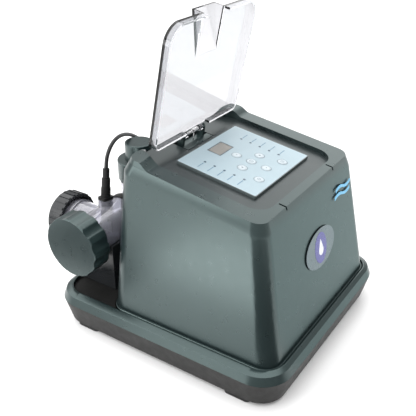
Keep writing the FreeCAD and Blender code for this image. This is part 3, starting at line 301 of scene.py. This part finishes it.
def deck_point(x, s, w):
    """A point of the tilted deck: x across, s up the slope, w square to the rim plane."""
    return Vector((x, s * math.cos(DECK_TILT) - w * math.sin(DECK_TILT),
                   DECK_Z + s * math.sin(DECK_TILT) + w * math.cos(DECK_TILT)))


def disc_outline(x, s, radius, count=28, turn=0.0):
    steps = [turn + math.tau * i / count for i in range(count)]
    return [(x + radius * math.cos(a), s + radius * math.sin(a)) for a in steps]


def bar_outline(x, s, length, width):
    a, b = length / 2, width / 2
    return [(x - a, s - b), (x + a, s - b), (x + a, s + b), (x - a, s + b)]


def printed(name, outlines, rings, w, surface, body):
    """Printed shapes on the deck: filled outlines, and rings given as (x, s, outer, inner)."""
    bm = bmesh.new()
    for outline in outlines:
        bm.faces.new([bm.verts.new(deck_point(x, s, w)) for x, s in outline])
    for x, s, outer, inner in rings:
        rims = [[bm.verts.new(deck_point(*p, w)) for p in disc_outline(x, s, r)]
                for r in (outer, inner)]
        for i in range(len(rims[0])):
            k = (i + 1) % len(rims[0])
            bm.faces.new((rims[0][i], rims[0][k], rims[1][k], rims[1][i]))
    mesh = bpy.data.meshes.new(name)
    bm.to_mesh(mesh)
    bm.free()
    piece = link(bpy.data.objects.new(name, mesh))
    mesh.materials.append(MATERIALS[surface])
    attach(piece, body)


def joint_place(node):
    """Where a key's centre lies on the deck, from its joint."""
    x, y, z = [j for j in RECORD["behaviour"]["joints"] if j["child"] == node + "_body"][0]["pos_m"]
    return x, y * math.cos(DECK_TILT) + (z - DECK_Z) * math.sin(DECK_TILT)


KEY_GLYPHS = {
    "key_up": ("arrow", 0.0010, 90),
    "key_down": ("arrow", 0.0010, -90),
    "key_left": ("arrow", 0.0016, 180),
    "key_right": ("arrow", 0.0016, 0),
    "key_center": ("bar_ring", 0.0025, 0),
    "key_front_left": ("dot_ring", 0.0022, 0),
    "key_front_right": ("bar_ring", 0.0022, 0),
}


def make_key_prints():
    for node, (kind, size, turn) in KEY_GLYPHS.items():
        x, s = joint_place(node)
        shapes = {
            "arrow": ([disc_outline(x, s, size, 3, math.radians(turn))], []),
            "bar_ring": ([bar_outline(x, s, GLYPH_LINE, size)], [(x, s, size, size - GLYPH_LINE)]),
            "dot_ring": ([disc_outline(x, s, 0.0007)], [(x, s, size, size - GLYPH_LINE)]),
        }
        outlines, rings = shapes[kind]
        surface = "print_glyph" if kind == "arrow" else "print_ring"
        printed(node + "_glyph", outlines, rings, KEY_W + PRINT_T, surface,
                BODY_OF[node])


def make_panel_print():
    inner = KEY_R + KEY_BORDER_GAP
    rings = [(*joint_place(node), inner + KEY_BORDER_WIDTH, inner) for node in KEY_GLYPHS]
    printed("key_borders", [], rings, OVERLAY_W + PRINT_T, "print_ring", "base")
    lines = []
    for side in (-1, 1):
        for i in range(LED_COUNT):
            s = LED_FRONT_S + LED_STEP * i
            lines.append(bar_outline(side * LED_LINE_X, s, LED_LINE_LENGTH, LED_LINE_WIDTH))
    printed("led_lines", lines, [], OVERLAY_W + PRINT_T, "print_line", "base")
    low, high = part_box("display_window")
    half = high[0] + DISPLAY_GAP
    middle = (DISPLAY_FRONT_S + DISPLAY_REAR_S) / 2
    depth = DISPLAY_REAR_S - DISPLAY_FRONT_S
    borders = []
    for edge in (DISPLAY_FRONT_S, DISPLAY_REAR_S):
        borders.append(bar_outline(0.0, edge, 2 * (half + DISPLAY_GAP), DISPLAY_BORDER))
    for side in (-1, 1):
        borders.append(bar_outline(side * half, middle, DISPLAY_BORDER, depth))
    printed("display_border", borders, [], OVERLAY_W + PRINT_T, "print_glyph",
            "base")


def make_lead():
    data = bpy.data.curves.new("sensor_lead", "CURVE")
    data.dimensions = "3D"
    data.bevel_depth = LEAD_DIAMETER / 2
    data.bevel_resolution = 6
    data.use_fill_caps = True
    spline = data.splines.new("NURBS")
    spline.points.add(len(LEAD_ROUTE) - 1)
    for point, (x, y, z) in zip(spline.points, reversed(LEAD_ROUTE)):
        point.co = (x, y, z + LIFT, 1)
    spline.order_u = 3
    spline.use_endpoint_u = True
    spline.resolution_u = 12
    lead = link(bpy.data.objects.new("sensor_lead", data))
    data.materials.append(MATERIALS["cable_jacket"])
    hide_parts("sensor_cable")
    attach(lead, "base")
    x, y, z = LEAD_ROUTE[-1]


def make_spring():
    """Torsion spring round the lid's pin, with one leg down in the pocket."""
    data = bpy.data.curves.new("hinge_spring_coil", "CURVE")
    data.dimensions = "3D"
    data.bevel_depth = SPRING_WIRE_R
    data.bevel_resolution = 3
    path = [deck_point(SPRING_X, PIN_S - SPRING_R, PIN_W - SPRING_LEG)]
    for i in range(SPRING_STEPS * SPRING_TURNS + 1):
        a = math.pi + math.tau * i / SPRING_STEPS
        path.append(deck_point(SPRING_X + SPRING_PITCH * i / SPRING_STEPS,
                               PIN_S + SPRING_R * math.cos(a), PIN_W + SPRING_R * math.sin(a)))
    spline = data.splines.new("POLY")
    spline.points.add(len(path) - 1)
    for point, place in zip(spline.points, path):
        point.co = (*place, 1)
    coil = link(bpy.data.objects.new("hinge_spring_coil", data))
    data.materials.append(MATERIALS["bright_steel"])
    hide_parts("hinge_spring")
    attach(coil, "base")


make_lead()
make_spring()
make_key_prints()
make_panel_print()

# ------------------------------------------------------------------ floor, light, camera
FLOOR = 12.0                 # half the floor's width
# height of the cards that paint shade into the plastic's reflections
SHADE_CARD_Z = 0.002
WORLD_LIGHT = 0.55
SKY_LAMP = 3.8
SKY_LAMP_ANGLE = math.radians(110)
CAMERA_AT = Vector((-0.58814, -0.38661, 0.52523))
CAMERA_AZIMUTH = 56.24       # from +Y toward +X
CAMERA_DOWN = 28.686
CAMERA_ROLL = -0.413
CAMERA_LENS = 56.36


def make_floor():
    mesh = bpy.data.meshes.new("floor")
    corners = [(-FLOOR, -FLOOR, 0), (FLOOR, -FLOOR, 0), (FLOOR, FLOOR, 0), (-FLOOR, FLOOR, 0)]
    mesh.from_pydata(corners, [], [(0, 1, 2, 3)])
    floor = link(bpy.data.objects.new("floor", mesh))
    mesh.materials.append(make_surface("floor_white", (0.90, 0.90, 0.90), 0.5, vary=0.004,
                                       vary_scale=2.0, specular=0.3))


def add_softbox(name, position, target, size, power):
    data = bpy.data.lights.new(name, "AREA")
    data.shape = "RECTANGLE"
    data.size, data.size_y = size
    data.energy = power
    lamp = link(bpy.data.objects.new(name, data))
    lamp.location = position
    lamp.visible_camera = False
    aim = Vector(target) - Vector(position)
    lamp.rotation_mode = "QUATERNION"
    lamp.rotation_quaternion = aim.to_track_quat("-Z", "Y")


def add_sky_lamp():
    """One very wide lamp overhead, which lights the floor evenly to the horizon."""
    data = bpy.data.lights.new("sky_lamp", "SUN")
    data.energy = SKY_LAMP
    data.angle = SKY_LAMP_ANGLE
    lamp = link(bpy.data.objects.new("sky_lamp", data))
    lamp.rotation_euler = (math.radians(-12), math.radians(-10), 0)


def add_painted_shade_card(name, corners, colour=(0.01, 0.01, 0.01)):
    """Dull card on the floor, seen only in the gloss of the plastic: it paints shade and tint into the
    plastic's reflections.
    """
    mesh = bpy.data.meshes.new(name)
    mesh.from_pydata([(x, y, SHADE_CARD_Z) for x, y in corners], [], [tuple(range(len(corners)))])
    mesh.materials.append(make_surface(name + "_painted_shade", colour, 0.9, vary=0.05))
    shade_card = link(bpy.data.objects.new(name, mesh))
    shade_card.visible_camera = False
    shade_card.visible_diffuse = False
    shade_card.visible_shadow = False
    shade_card.visible_transmission = False


def make_world():
    world = bpy.data.worlds.new("studio")
    world.use_nodes = True
    back = world.node_tree.nodes["Background"]
    back.inputs["Color"].default_value = (1.0, 1.0, 1.0, 1)
    back.inputs["Strength"].default_value = WORLD_LIGHT
    bpy.context.scene.world = world


def make_camera():
    a = math.radians(CAMERA_AZIMUTH)
    e = math.radians(CAMERA_DOWN)
    r = math.radians(CAMERA_ROLL)
    forward = Vector((math.sin(a) * math.cos(e), math.cos(a) * math.cos(e), -math.sin(e)))
    level = Vector((math.cos(a), -math.sin(a), 0))
    above = level.cross(forward)
    right = level * math.cos(r) + above * math.sin(r)
    up = right.cross(forward)
    data = bpy.data.cameras.new("camera")
    data.lens = CAMERA_LENS
    data.sensor_width = 36.0
    camera = link(bpy.data.objects.new("camera", data))
    turn = Matrix((right, up, -forward)).transposed()
    camera.matrix_world = Matrix.Translation(CAMERA_AT) @ turn.to_4x4()
    bpy.context.scene.camera = camera


make_floor()
make_world()
add_sky_lamp()
add_softbox("left_softbox", (-0.85, 0.45, 0.40), (-0.12, -0.05, 0.20), (0.6, 0.4), 2.7)
add_softbox("floor_glow", (-0.46, 0.05, 0.01), (-0.46, 0.05, 1.0), (0.24, 0.26), 0.6)
add_softbox("rear_softbox", (1.60, 0.28, 0.98), (0.0, 0.0, 0.22), (1.0, 1.0), 4.5)
# Black cards seen only in the gloss: painted shade in the reflections of the housing's front corner and
# the end cap's face.
add_painted_shade_card("front_painted_shade", ((-1.1, -1.1), (-0.03, -1.1), (-0.07, -0.23), (-0.19, -0.20),
                        (-0.27, -0.10), (-1.0, -0.04)))
add_painted_shade_card("cap_painted_shade", ((-0.39, 0.17), (-0.24, 0.13), (-0.24, 0.32), (-0.39, 0.36)))
# Pale green card seen only in the gloss: a painted reflection that dims and tints the housing's front
# face.
add_painted_shade_card("front_painted_reflection", ((-0.03, -0.20), (0.95, -0.20), (0.95, -0.75), (0.22, -0.75)),
         (0.62, 0.74, 0.74))
make_camera()
bpy.context.scene.view_settings.view_transform = "Standard"
